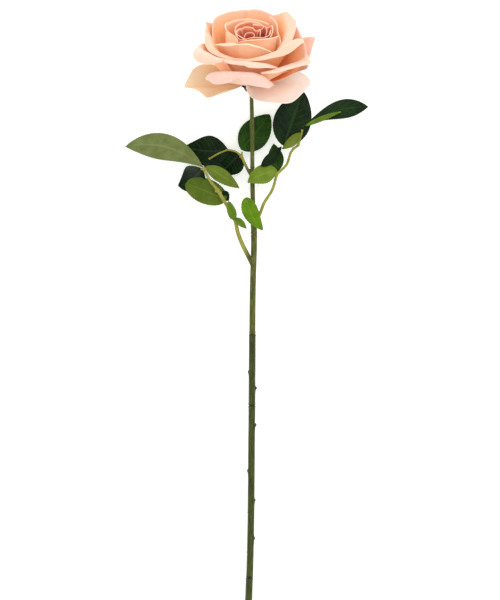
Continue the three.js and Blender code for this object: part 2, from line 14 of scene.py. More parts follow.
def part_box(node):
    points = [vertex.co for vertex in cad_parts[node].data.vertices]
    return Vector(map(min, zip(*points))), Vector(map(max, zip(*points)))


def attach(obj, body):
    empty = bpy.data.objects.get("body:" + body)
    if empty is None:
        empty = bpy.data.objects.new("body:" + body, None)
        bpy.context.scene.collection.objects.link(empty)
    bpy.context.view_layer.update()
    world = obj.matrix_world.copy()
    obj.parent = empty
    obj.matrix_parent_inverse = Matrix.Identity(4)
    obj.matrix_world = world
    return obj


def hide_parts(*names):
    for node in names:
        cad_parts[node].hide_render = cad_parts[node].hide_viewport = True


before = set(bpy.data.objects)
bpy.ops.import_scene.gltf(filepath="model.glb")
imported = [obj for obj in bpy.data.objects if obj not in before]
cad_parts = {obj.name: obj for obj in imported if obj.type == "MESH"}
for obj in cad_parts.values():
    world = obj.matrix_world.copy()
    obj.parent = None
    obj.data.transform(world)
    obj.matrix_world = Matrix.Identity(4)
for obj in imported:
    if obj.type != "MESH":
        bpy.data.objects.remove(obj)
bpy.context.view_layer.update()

MM = 0.001


# ---- Small helpers -------------------------------------------------------------------------------
def lerp(a, b, share):
    return a + (b - a) * share


def clamp(value, low=0.0, high=1.0):
    return max(low, min(high, value))


def smooth(value, low, high):
    """0 below low, 1 above high, and an even S between them."""
    share = clamp((value - low) / (high - low))
    return share * share * (3 - 2 * share)


def bump(value, middle, width):
    return math.exp(-(((value - middle) / width) ** 2))


def along(stops, value):
    """A smooth curve through (place, amount) stops."""
    if value <= stops[0][0]:
        return stops[0][1]
    for (a, low), (b, high) in zip(stops, stops[1:]):
        if value <= b:
            return lerp(low, high, smooth(value, a, b))
    return stops[-1][1]


def ripple(seed, *place):
    """Seeded smooth noise from -1 to 1."""
    x, y, z = (*place, 0.0, 0.0)[:3]
    return noise.noise(Vector((x + seed * 7.31, y - seed * 3.17, z + seed * 1.73)))


# ---- Finishes ------------------------------------------------------------------------------------
def paint(code):
    """A colour written as #rrggbb, as the shader wants it."""
    parts = [int(code[i : i + 2], 16) / 255 for i in (1, 3, 5)]
    return (*(c / 12.92 if c <= 0.04045 else ((c + 0.055) / 1.055) ** 2.4 for c in parts), 1.0)


class Value:
    """A socket of a finish. Arithmetic on it adds Math nodes."""

    def __init__(self, finish, socket):
        self.finish = finish
        self.socket = socket

    def math(self, operation, *rest):
        return self.finish.maths(operation, self, *rest)

    def __add__(self, other):
        return self.math("ADD", other)

    def __sub__(self, other):
        return self.math("SUBTRACT", other)

    def __rsub__(self, other):
        return self.finish.maths("SUBTRACT", other, self)

    def __mul__(self, other):
        return self.math("MULTIPLY", other)

    __radd__ = __add__
    __rmul__ = __mul__


class Finish:
    """A material: a Principled shader whose constant settings are given by name."""

    def __init__(self, name, **constants):
        self.material = bpy.data.materials.new(name)
        self.material.use_nodes = True
        self.tree = self.material.node_tree
        self.shader = self.tree.nodes["Principled BSDF"]
        for key, value in constants.items():
            self.socket(key).default_value = value

    def socket(self, key):
        """The shader's socket for a keyword such as base_color."""
        return self.shader.inputs[key.replace("_", " ").title().replace("Ior", "IOR")]

    def node(self, kind, settings=None, inputs=None, output=0):
        node = self.tree.nodes.new(kind)
        for key, value in (settings or {}).items():
            setattr(node, key, value)
        for key, value in (inputs or {}).items():
            self.feed(node.inputs[key], value)
        return Value(self, node.outputs[output])

    def feed(self, socket, value):
        if isinstance(value, Value):
            self.tree.links.new(value.socket, socket)
        else:
            socket.default_value = value

    def drive(self, **varying):
        for key, value in varying.items():
            self.feed(self.socket(key), value)
        return self.material

    def maths(self, operation, *values):
        return self.node("ShaderNodeMath", {"operation": operation}, dict(enumerate(values)))

    def smooth(self, value, low, high):
        return self.node(
            "ShaderNodeMapRange",
            {"interpolation_type": "SMOOTHSTEP"},
            {"Value": value, "From Min": low, "From Max": high},
        )

    def mix(self, share, a, b):
        return self.node("ShaderNodeMix", {"data_type": "RGBA"}, {0: share, 6: a, 7: b}, 2)

    def trait(self, name):
        return self.node("ShaderNodeAttribute", {"attribute_name": name}, output=2)

    def place(self, scale=(1, 1, 1)):
        """Object coordinates in millimetres, stretched by a scale."""
        return self.stretch(self.node("ShaderNodeTexCoord", output=3), [s / MM for s in scale])

    def sheet_place(self, across, up):
        """The piece's own UV map, stretched across and up the sheet."""
        return self.stretch(self.node("ShaderNodeUVMap", {"uv_map": "UVMap"}), (across, up, 1))

    def stretch(self, vector, scale):
        return self.node("ShaderNodeVectorMath", {"operation": "MULTIPLY"}, {0: vector, 1: scale})

    def axis(self, vector, number):
        """One number of a vector: 0, 1 or 2."""
        return self.node("ShaderNodeSeparateXYZ", None, {0: vector}, number)

    def noise(self, vector, scale, detail=3.0, roughness=0.5):
        return self.node(
            "ShaderNodeTexNoise",
            None,
            {"Vector": vector, "Scale": scale, "Detail": detail, "Roughness": roughness},
        )

    def relief(self, height, distance, strength=1.0):
        """A Bump node. Distance is in millimetres."""
        return self.node(
            "ShaderNodeBump", None, {"Height": height, "Strength": strength, "Distance": distance * MM}
        )


def petal_finish(name, deep, body, lip, outside, edge, blush=0.0, depth=0.0):
    """Latex petal: deep at its foot, lighter towards the lip, with a pale cut edge and faint veins, and a
    faint painted glow in its own colour that lifts its shade.
    """
    f = Finish(
        name,
        subsurface_weight=0.07,
        subsurface_scale=0.0012,
        subsurface_radius=(1.0, 0.45, 0.3),
        sheen_weight=0.1,
        specular_ior_level=0.28,
        # Painted light: a faint glow that makes the petal brighter and flattens its shade.
        emission_strength=0.06,
    )
    up, inside, rim = f.trait("up"), f.trait("inside"), f.trait("rim")
    veins = f.noise(f.sheet_place(46, 2.6), 1.0, 3.0, 0.55)
    cloud = f.noise(f.place(), 0.09, 3.0, 0.55)
    grain = f.noise(f.place(), 2.4, 2.0, 0.6)
    level = up + (cloud - 0.5) * 0.22 + (veins - 0.5) * 0.1 - depth
    inner = f.mix(f.smooth(level, 0.26, 0.62), paint(deep), paint(body))
    inner = f.mix(f.smooth(level, 0.6, 0.82), inner, paint(lip))
    outer = f.mix(f.smooth(level, 0.3, 0.75), paint(body), paint(outside))
    colour = f.mix(inside, outer, inner)
    colour = f.mix((1 - f.smooth(rim, 0.2, 1.6)) * 0.6, colour, paint(edge))
    colour = f.mix(f.smooth(cloud, 0.55, 0.75) * (0.14 + blush), colour, paint("#f7b9a4"))
    colour = f.mix((veins - 0.5) * 0.16 + (grain - 0.5) * 0.05 + 0.06, colour, paint("#fff4e6"))
    height = veins * 0.7 + grain * 0.3
    return f.drive(
        base_color=colour,
        # The painted glow takes the petal's own colour, so the petal shines without any lamp.
        emission_color=colour,
        roughness=0.5 + (grain - 0.5) * 0.16 + (cloud - 0.5) * 0.1,
        normal=f.relief(height, 0.12, 0.5),
    )


VEINS = 8  # side veins on each half of a leaflet
VEIN_SLANT = 0.24  # how far a vein climbs towards the tip on its way to the edge


def leaf_finish(name, top, shade, top_vein, under, under_vein, gloss=0.42):
    """Fabric leaflet printed with veins: glossy and dark on top, paler and duller underneath."""
    f = Finish(name, specular_ior_level=0.12)
    below = f.trait("inside")
    across = f.axis(f.sheet_place(1, 1), 0)
    up = f.axis(f.sheet_place(1, 1), 1)
    side = ((across - 0.5) * 2).math("ABSOLUTE")
    wander = f.noise(f.sheet_place(3, 5), 1.0, 2.0, 0.5) - 0.5
    phase = (up - side * VEIN_SLANT + wander * 0.035) * VEINS
    distance = (phase.math("FRACT") - 0.5).math("ABSOLUTE")
    ribs = f.smooth(distance, 0.41, 0.5) * f.smooth(1.02 - side, 0.0, 0.35)
    midrib = 1 - f.smooth(side, 0.015, 0.07)
    vein = ribs.math("MAXIMUM", midrib)
    net = f.noise(f.sheet_place(34, 60), 1.0, 3.0, 0.65)
    cloud = f.noise(f.place(), 0.11, 3.0, 0.6)
    face = f.mix(f.smooth(cloud, 0.35, 0.68), paint(shade), paint(top))
    face = f.mix(vein * 0.4, face, paint(top_vein))
    back = f.mix(f.smooth(cloud, 0.3, 0.7) * 0.5, paint(under), paint(under_vein))
    back = f.mix(vein * 0.55, back, paint(under_vein))
    colour = f.mix(below, face, back)
    colour = f.mix(f.smooth(net, 0.55, 0.8) * 0.16, colour, paint(under_vein))
    height = net * 0.35 - vein * (0.8 - below * 1.9)
    return f.drive(
        base_color=colour,
        roughness=gloss + below * 0.2 + (net - 0.5) * 0.2,
        normal=f.relief(height, 0.3, 0.7),
    )


def stem_finish(name, main, light, dark):
    """Moulded plastic stem with lengthwise streaks, darker patches and a fine waxy grain."""
    f = Finish(name, specular_ior_level=0.25)
    streaks = f.noise(f.place((1.0, 0.09, 1.0)), 1.4, 4.0, 0.6)
    patches = f.noise(f.place((1, 0.5, 1)), 0.16, 3.0, 0.6)
    grain = f.noise(f.place(), 3.5, 3.0, 0.6)
    colour = f.mix(f.smooth(streaks, 0.38, 0.66), paint(main), paint(light))
    colour = f.mix(f.smooth(patches, 0.52, 0.72) * 0.7, colour, paint(dark))
    colour = f.mix(f.smooth(grain, 0.6, 0.75) * 0.25, colour, paint(light))
    ring = f.trait("ring")
    colour = f.mix(ring * 0.7, colour, paint(dark))
    return f.drive(
        base_color=colour,
        roughness=0.42 + (grain - 0.5) * 0.25,
        normal=f.relief(streaks * 0.7 + grain * 0.4, 0.2, 0.6),
    )


STEM_LINE = 4.8  # where the stem's line runs, to the side of the part's middle


def branch_finish(name, collar, collar_dark, stalk, stalk_dark):
    """Moulded branch: its collar is as dark as the stem, and its stalks grow lighter away from it."""
    f = Finish(name, specular_ior_level=0.25)
    streaks = f.noise(f.place((1.0, 0.12, 1.0)), 1.3, 4.0, 0.6)
    patches = f.noise(f.place((1, 0.5, 1)), 0.2, 3.0, 0.6)
    off_line = (f.axis(f.place(), 0) - STEM_LINE).math("ABSOLUTE")
    away = f.smooth(off_line, 2.6, 7.5)
    dark = f.mix(f.smooth(streaks, 0.4, 0.62), paint(collar_dark), paint(collar))
    light = f.mix(f.smooth(streaks, 0.34, 0.6), paint(stalk_dark), paint(stalk))
    colour = f.mix(away, dark, light)
    colour = f.mix(f.smooth(patches, 0.6, 0.75) * (1 - away) * 0.6, colour, paint("#6e4a2c"))
    return f.drive(
        base_color=colour,
        roughness=0.45 + (patches - 0.5) * 0.3,
        normal=f.relief(streaks, 0.2, 0.6),
    )


# The colours are in the order of petal_finish(): deep, body, lip, outside and edge.
PETAL_FINISHES = {
    "heart": petal_finish("latex_heart", "#8e1c10", "#d86442", "#f9bc9a", "#f29c76", "#fcceb2", 0.16, 0.24),
    "bud": petal_finish("latex_bud", "#b83a18", "#ea8656", "#fac4a2", "#f8b088", "#fdd8bc", 0.1, 0.16),
    "inner": petal_finish("latex_inner", "#ea7c2c", "#fbb67c", "#fbd0ae", "#fedcbc", "#fee2c8"),
    "cup": petal_finish("latex_cup", "#ee8a34", "#fcc48c", "#f6c8ac", "#fbcba0", "#fbd6be"),
    "outer": petal_finish("latex_outer", "#e8823a", "#fcc592", "#f6cbb4", "#fbc8a2", "#fbd6c4"),
    "skirt": petal_finish("latex_skirt", "#f0a87c", "#f4c6ac", "#e8bfaf", "#f2cab8", "#f2cebe"),
    "beige": petal_finish("latex_beige", "#ead0a8", "#ead6b2", "#e9d5b2", "#e7d2ac", "#ecdabc"),
    "pale": petal_finish("latex_pale", "#f6e6dc", "#f2ece6", "#ece2d8", "#f1e3db", "#f0e5da"),
}

# The colours are in the order of leaf_finish(): top, shade, top vein, underside and its vein.
LEAF_FINISHES = {
    "dark": leaf_finish("leaf_dark", "#0a2806", "#041503", "#2c4f1c", "#3f5c20", "#5f7a30", 0.38),
    "deep": leaf_finish("leaf_deep", "#0f2d07", "#081d04", "#2f5220", "#66782a", "#808f3c", 0.4),
    "mid": leaf_finish("leaf_mid", "#254a08", "#183804", "#43691a", "#55731c", "#74883a", 0.42),
    "olive": leaf_finish("leaf_olive", "#1c400c", "#123006", "#3b6322", "#4f6316", "#687c2c", 0.45),
    "sage": leaf_finish("leaf_sage", "#214712", "#163609", "#426a2c", "#62703a", "#838d58", 0.48),
    "lime": leaf_finish("leaf_lime", "#6b8a24", "#5a7a1c", "#8fa244", "#65801e", "#859a3e", 0.45),
    "moss": leaf_finish("leaf_moss", "#123a10", "#0a2808", "#2f5a26", "#5f7420", "#7d8c38", 0.45),
    "bright": leaf_finish("leaf_bright", "#638c0c", "#527a0a", "#8aaa30", "#6a8a20", "#8fa444", 0.45),
}

STEM_FINISH = stem_finish("stem_olive", "#2c3508", "#4c551b", "#1a2007")
NECK_FINISH = stem_finish("stem_neck_olive", "#41490f", "#666c2c", "#2c330c")
BRANCH_FINISH = branch_finish("branch_green", "#666a2c", "#3f4514", "#a09e44", "#7d7c30")


# ---- Building ------------------------------------------------------------------------------------
def finish_piece(name, bm, material, slot, *nodes, levels=0, remesh=0.0):
    """Turns a bmesh in millimetres into a finished piece on the part, in place of CAD nodes."""
    bmesh.ops.scale(bm, vec=(MM, MM, MM), verts=bm.verts)
    for face in bm.faces:
        face.smooth = True
    mesh = bpy.data.meshes.new(name)
    bm.to_mesh(mesh)
    bm.free()
    mesh.materials.append(material)
    piece = bpy.data.objects.new(name, mesh)
    bpy.context.scene.collection.objects.link(piece)
    if remesh:
        skin = piece.modifiers.new("skin", "REMESH")
        skin.mode = "VOXEL"
        skin.voxel_size = remesh * MM
        skin.use_smooth_shade = True
        ease = piece.modifiers.new("ease", "SMOOTH")
        ease.factor = 0.5
        ease.iterations = 8
    if levels:
        surface = piece.modifiers.new("surface", "SUBSURF")
        surface.levels = levels
        surface.render_levels = levels
    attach(piece, "root")
    if nodes:
        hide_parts(*nodes)


def pour(bm, part):
    """Adds a finished part's geometry to a piece."""
    mesh = bpy.data.meshes.new("part")
    part.to_mesh(mesh)
    part.free()
    bm.from_mesh(mesh)
    bpy.data.meshes.remove(mesh)


SHEET_TRAITS = ("up", "inside", "rim")


def add_sheet(bm, surface, columns, rows, thickness, traits):
    """Adds a closed sheet of even thickness over surface(u, v), with u from -1 to 1 and v from 0 to 1.
    Traits are functions of u and v that the finishes read by name. "inside" is set on the face behind
    the surface, which is a petal's inner side or a leaflet's underside."""
    sheet = bmesh.new()
    layers = {key: sheet.verts.layers.float.new(key) for key in SHEET_TRAITS}
    sheet.loops.layers.uv.new("UVMap")
    bmesh.ops.create_grid(sheet, x_segments=columns, y_segments=rows, size=1, calc_uvs=True)
    for vert in sheet.verts:
        u, v = vert.co.x, (vert.co.y + 1) / 2
        for key, trait in traits.items():
            vert[layers[key]] = trait(u, v)
        vert.co = surface(u, v)
    sheet.normal_update()
    for vert in sheet.verts:
        vert.co += vert.normal * (thickness / 2)
    outside = len(sheet.verts)
    bmesh.ops.solidify(sheet, geom=sheet.faces, thickness=thickness)
    sheet.verts.ensure_lookup_table()
    for vert in sheet.verts[outside:]:
        vert[layers["inside"]] = 1.0
    bmesh.ops.recalc_face_normals(sheet, faces=sheet.faces)
    pour(bm, sheet)


def add_tube(bm, path, radius, sides, rings, ring_mark=None):
    """Adds a closed tube. path(share) gives a point and radius(share, angle) its radius there.
    ring_mark(share) marks its joint rings for the finish."""
    tube = bmesh.new()
    layer = tube.verts.layers.float.new("ring")
    bmesh.ops.create_cone(tube, cap_ends=True, segments=sides, radius1=1, radius2=1, depth=2)
    edges = [edge for edge in tube.edges if abs(edge.verts[0].co.z - edge.verts[1].co.z) > 1]
    bmesh.ops.subdivide_edges(tube, edges=edges, cuts=rings - 1)
    for vert in tube.verts:
        share = (vert.co.z + 1) / 2
        angle = math.atan2(vert.co.y, vert.co.x)
        here = path(share)
        ahead = path(min(1.0, share + 0.002)) - path(max(0.0, share - 0.002))
        side = ahead.cross(Vector((0, 0, 1))).normalized()
        over = side.cross(ahead).normalized()
        out = radius(share, angle)
        vert.co = here + side * (math.cos(angle) * out) - over * (math.sin(angle) * out)
        if ring_mark:
            vert[layer] = ring_mark(share)
    pour(bm, tube)


def smooth_path(points):
    """A path that passes smoothly through all its points."""
    points = [Vector(p) for p in points]
    spans = [max((b - a).length, 1e-6) ** 0.5 for a, b in zip(points, points[1:])]
    marks = [0.0]
    for span in spans:
        marks.append(marks[-1] + span)

    def tangent(i):
        if i == 0:
            return (points[1] - points[0]) / spans[0]
        if i == len(points) - 1:
            return (points[-1] - points[-2]) / spans[-1]
        before = (points[i] - points[i - 1]) / spans[i - 1]
        after = (points[i + 1] - points[i]) / spans[i]
        whole = spans[i - 1] + spans[i]
        return before * (spans[i] / whole) + after * (spans[i - 1] / whole)

    tangents = [tangent(i) for i in range(len(points))]

    def path(share):
        mark = clamp(share) * marks[-1]
        i = min(max(k for k, m in enumerate(marks) if m <= mark + 1e-9), len(spans) - 1)
        t = (mark - marks[i]) / spans[i]
        a, b = points[i], points[i + 1]
        return (
            a * (2 * t**3 - 3 * t**2 + 1)
            + tangents[i] * ((t**3 - 2 * t**2 + t) * spans[i])
            + b * (3 * t**2 - 2 * t**3)
            + tangents[i + 1] * ((t**3 - t**2) * spans[i])
        )

    return path


# ---- The bloom's own frame, read from the core that its petals are glued to -----------------------
LEAN = math.radians(60)
CORE_RADIUS = 11.2
CORE_HEIGHT = 13.0
CORE_FOOT = 11.3
CALYX_RADIUS = 12.5
CALYX_HEIGHT = 11.0

core_low, core_high = (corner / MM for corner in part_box("bloom_core"))
BLOOM_FOOT = Vector(
    (
        (core_low.x + core_high.x) / 2,
        core_low.y + CORE_RADIUS * math.cos(LEAN) - CORE_FOOT * math.sin(LEAN),
        core_low.z + CORE_RADIUS * math.sin(LEAN) - CORE_FOOT * math.cos(LEAN),
    )
)
TO_BLOOM = Matrix.Translation(BLOOM_FOOT) @ Matrix.Rotation(-LEAN, 4, "X")

# The layout along the stem is measured from its cut end, on the surface below the stem line.
STEM_REACH = 527.0
CUT_END = Vector((BLOOM_FOOT.x - 1.3, BLOOM_FOOT.y - STEM_REACH, 0.0))


# ---- Petals --------------------------------------------------------------------------------------
# Each petal runs from a narrow foot on the core, over its belly, to its crest, where its lip turns out.
# layer: how far down the core its foot is glued, in millimetres.
# crest: points (side, rise, back) round the crest, counterclockwise about the axis. Side and rise are
# measured along the surface that the rose lies on, and back is the distance behind the bloom's axis.
# lip: how far the petal goes on past its crest. face: its angle from the axis at the crest.
# roll: how far the lip turns from there. Lip, face and roll are one amount or stops across the petal.
CORE_SLOPE = math.hypot(CORE_RADIUS, CORE_HEIGHT)
PETAL_THICKNESS = 0.6
BODY = 0.76  # share of a petal's rows below its crest
BELLY = 0.42  # how far a petal heads outwards from its heel, as a share of its reach
LIP_STEPS = 6
BODY_LENGTH = 40  # taken for every petal, to tell how far a point is from the lip
FIT_GAP = 0.3  # between the core and the first petals' feet


def spread_of(value, u):
    return along(value, u) if isinstance(value, list) else value


def petal_surface(seed, layer, crest, lip, face, roll, foot, start=None, neck=0.3):
    """Returns the petal's surface and its distance from the edge, both as functions of u and v."""
    corners = [
        Vector((side, back, (rise - back * math.cos(LEAN)) / math.sin(LEAN)))
        for side, rise, back in crest
    ]
    rim = smooth_path(corners)
    middle = rim(0.5)
    towards = math.atan2(middle.y, middle.x)
    down = layer / CORE_SLOPE
    root = FIT_GAP + PETAL_THICKNESS + CORE_RADIUS * down
    low = CORE_FOOT + CORE_HEIGHT * (1 - down)
    if start is None:
        start = lerp(48, 104, clamp((layer - 3) / 9.6))

    def turned(angle, lean):
        return Vector((math.cos(angle) * math.sin(lean), math.sin(angle) * math.sin(lean), math.cos(lean)))

    def surface(u, v):
        top = rim((u + 1) / 2)
        top += Vector((0, 0, 0.5 * ripple(seed, u * 3.1)))
        angle = towards + foot / 2 / root * u
        heel = Vector((math.cos(angle) * root, math.sin(angle) * root, low))
        # The lip heads outwards, though less than all the way round where the crest wraps the bloom.
        outward = math.atan2(top.y, top.x)
        outward = towards + clamp(math.remainder(outward - towards, math.tau), -1.9, 1.9) * 0.9
        lean = math.radians(spread_of(face, u))
        reach = (top - heel).length
        t = min(1.0, v / BODY)
        points = [
            heel,
            heel + turned(angle, math.radians(start)) * (reach * BELLY),
            top - turned(outward, lean) * (reach * neck),
            top,
        ]
        weights = [(1 - t) ** 3, 3 * t * (1 - t) ** 2, 3 * t**2 * (1 - t), t**3]
        point = sum((p * w for p, w in zip(points, weights)), Vector())
        if v > BODY:
            length = spread_of(lip, u)
            share = (v - BODY) / (1 - BODY)
            for i in range(LIP_STEPS):
                bend = math.radians(spread_of(roll, u)) * share * (i + 0.5) / LIP_STEPS
                point += turned(outward, lean + bend) * (length * share / LIP_STEPS)
        else:
            swell = math.sin(math.pi * t)
            point += turned(outward, math.pi / 2) * (0.7 * ripple(seed, u * 1.9, v * 1.8, 4.0) * swell)
        return TO_BLOOM @ point

    length = sum((b - a).length for a, b in zip(corners, corners[1:]))

    def edge(u, v):
        past = spread_of(lip, u) * min(1, (1 - v) / (1 - BODY))
        return min(past + max(0, BODY - v) * BODY_LENGTH, (1 - abs(u)) * length / 2)

    return surface, edge


